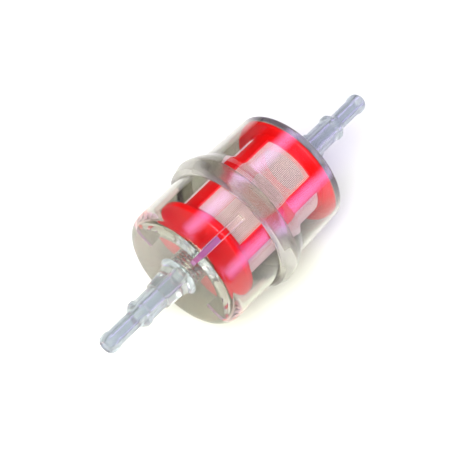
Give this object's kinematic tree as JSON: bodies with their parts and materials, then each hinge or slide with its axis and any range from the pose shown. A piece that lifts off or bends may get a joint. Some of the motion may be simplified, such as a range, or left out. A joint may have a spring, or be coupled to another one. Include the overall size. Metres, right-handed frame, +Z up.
{
  "type": "in-line fuel filter",
  "caption": "Clear in-line fuel filter: two welded shells with stepped hose stems, a weld collar and a sprung red mesh element inside.",
  "frame": {"origin": "centre of the whole filter's box, on the flow axis", "axes": "+X along the flow, from the inlet stem to the outlet stem; +Z up as the filter lies on its side"},
  "size_m": [0.127, 0.0504, 0.0504],
  "materials": {
    "clear_shell": "clear moulded plastic with a faint olive tint",
    "red_plastic": "vivid red, smooth moulded",
    "nylon_mesh": "fine woven nylon",
    "spring_steel": "bright drawn wire"
  },
  "bodies": {
    "housing": {"inlet_shell": "clear_shell", "outlet_shell": "clear_shell", "element_spring": "spring_steel"},
    "element": {"element_cage": "red_plastic", "element_cap": "red_plastic", "mesh_screen": "nylon_mesh"}
  },
  "joints": [
    {"name": "element_lift", "type": "slide", "parent": "housing", "child": "element", "axis": [-1, 0, 0], "range_m": [0, 0.0015], "stiffness_N_per_m": 900, "springref_m": -0.002, "deforming": ["element_spring"]}
  ]
}
